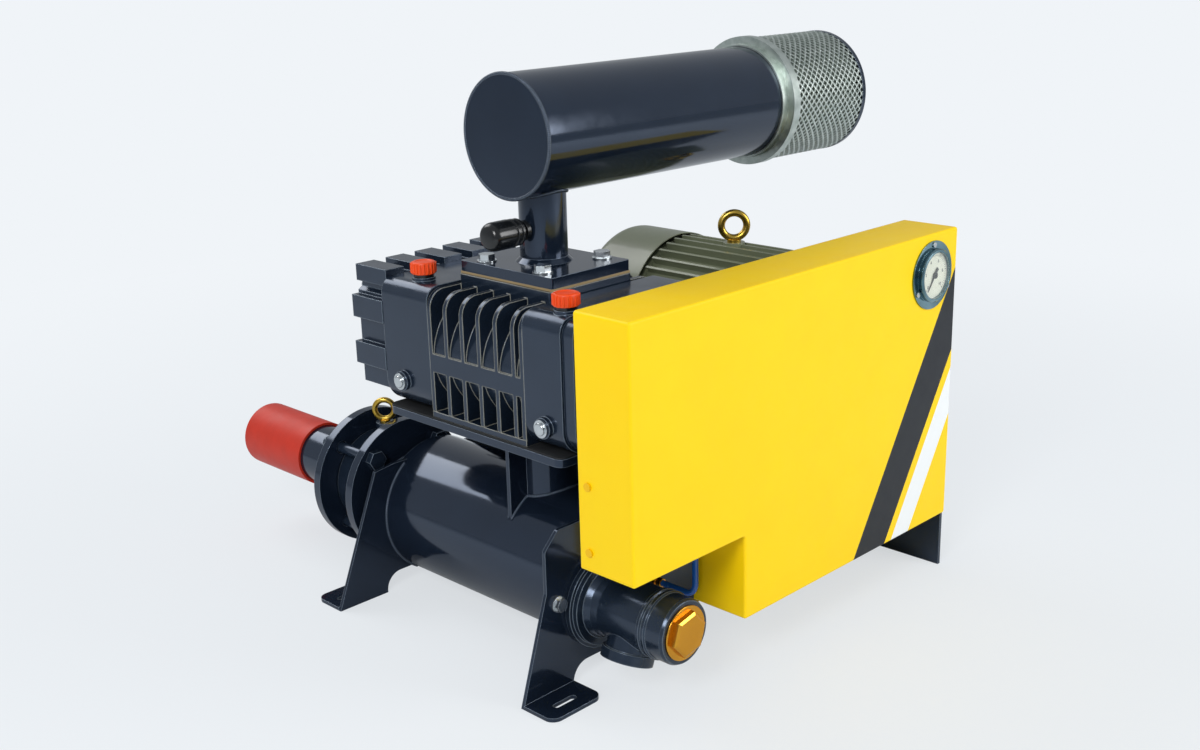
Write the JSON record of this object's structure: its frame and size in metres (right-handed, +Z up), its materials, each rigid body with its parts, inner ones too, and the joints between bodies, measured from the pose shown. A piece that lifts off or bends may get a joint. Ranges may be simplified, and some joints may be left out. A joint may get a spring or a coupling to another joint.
{
  "type": "roots vacuum pump",
  "caption": "Belt-driven roots blower on a tubular discharge silencer base with intake filter silencer, check valve, relief valve, motor and yellow belt guard.",
  "frame": {"origin": "on the floor, in the middle of the rectangle of the four foot slots", "axes": "+X from the blower towards the motor, +Y along the shafts away from the belt guard towards the discharge end, +Z up"},
  "size_m": [0.762, 0.9158, 0.7457],
  "materials": {
    "black_paint": "gloss black enamel",
    "black_casting": "gloss black enamel on cast iron",
    "bare_iron": "machined",
    "pulley_iron": "phosphated, turned",
    "steel": "machined steel",
    "zinc_steel": "bright zinc plated",
    "yellow_zinc": "yellow passivated zinc",
    "filter_zinc": "galvanised sheet",
    "filter_media": "pleated paper",
    "motor_paint": "grey-green stove enamel",
    "motor_steel": "grey-green enamel",
    "guard_paint": "yellow enamel",
    "tray_paint": "black enamel",
    "brass": "turned brass",
    "gasket": "fibre gasket",
    "belt": "matt",
    "sleeve": "matt red silicone",
    "seal": "matt",
    "cap_orange": "moulded",
    "black_plastic": "moulded",
    "sight_glass": "clear",
    "gauge_steel": "polished stainless",
    "dial": "white enamel",
    "pointer": "black enamel",
    "gauge_glass": "clear",
    "blue_tube": "extruded"
  },
  "bodies": {
    "package": {"base_silencer": "black_paint", "frame_bolts": "zinc_steel", "front_plate": "black_paint", "rear_plates": "black_paint", "motor_deck": "black_paint", "right_leg": "black_paint", "neck_flange": "black_paint", "check_valve_body": "black_casting", "check_valve_pin": "steel", "discharge_pipe": "black_paint", "flange_bolts": "zinc_steel", "discharge_sleeve": "sleeve", "relief_body": "black_casting", "relief_spring": "steel", "relief_plug": "brass", "blower_housing": "black_casting", "gaskets": "gasket", "gear_case": "black_casting", "drive_case": "black_casting", "gear_cover": "black_casting", "drive_cover": "black_casting", "shaft_seal": "seal", "case_bolts": "zinc_steel", "bearings": "steel", "cap_collars": "black_plastic", "oil_caps": "cap_orange", "sight_glasses": "sight_glass", "inlet_neck": "black_paint", "inlet_bolts": "zinc_steel", "filter_indicator": "black_plastic", "intake_silencer": "black_paint", "filter_collar": "filter_zinc", "filter_mesh": "filter_zinc", "filter_element": "filter_media", "v_belts": "belt", "belt_guard": "guard_paint", "guard_tray": "tray_paint", "guard_screws": "zinc_steel", "motor_body": "motor_paint", "motor_shields": "motor_paint", "fan_cowl": "motor_steel", "terminal_box": "motor_paint", "lifting_eyes": "yellow_zinc", "motor_bolts": "zinc_steel", "gauge_case": "gauge_steel", "gauge_dial": "dial", "gauge_glass": "gauge_glass", "gauge_fittings": "brass", "gauge_tube": "blue_tube"},
    "motor_spindle": {"motor_rotor": "steel", "motor_pulley": "pulley_iron", "motor_fan": "black_plastic"},
    "drive_shaft": {"drive_rotor": "bare_iron", "drive_gear": "steel", "blower_pulley": "pulley_iron"},
    "driven_shaft": {"driven_rotor": "bare_iron", "driven_gear": "steel"},
    "check_flap": {"check_valve_flap": "steel"},
    "relief_poppet": {"relief_disc": "steel"},
    "pointer": {"gauge_pointer": "pointer"}
  },
  "joints": [
    {"name": "motor_spin", "type": "hinge", "parent": "package", "child": "motor_spindle", "pos_m": [0.128, -0.289, 0.363], "axis": [0, 1, 0], "continuous": true},
    {"name": "drive_spin", "type": "hinge", "parent": "package", "child": "drive_shaft", "pos_m": [-0.228, -0.049, 0.382], "axis": [0, 1, 0], "continuous": true},
    {"name": "driven_spin", "type": "hinge", "parent": "package", "child": "driven_shaft", "pos_m": [-0.14, -0.049, 0.382], "axis": [0, 1, 0], "continuous": true},
    {"name": "check_flap_swing", "type": "hinge", "parent": "package", "child": "check_flap", "pos_m": [-0.222, 0.2468, 0.167], "axis": [1, 0, 0], "range_deg": [0, 60]},
    {"name": "relief_lift", "type": "slide", "parent": "package", "child": "relief_poppet", "axis": [0, -1, 0], "range_m": [0, 0.01], "deforming": ["relief_spring"]},
    {"name": "pointer_swing", "type": "hinge", "parent": "package", "child": "pointer", "pos_m": [0.249, -0.344, 0.4405], "axis": [0, 1, 0], "range_deg": [-8, 262]}
  ],
  "couplings": [
    {"joint": "drive_spin", "follows": "motor_spin", "ratio": 1.3333},
    {"joint": "driven_spin", "follows": "motor_spin", "ratio": -1.3333}
  ]
}
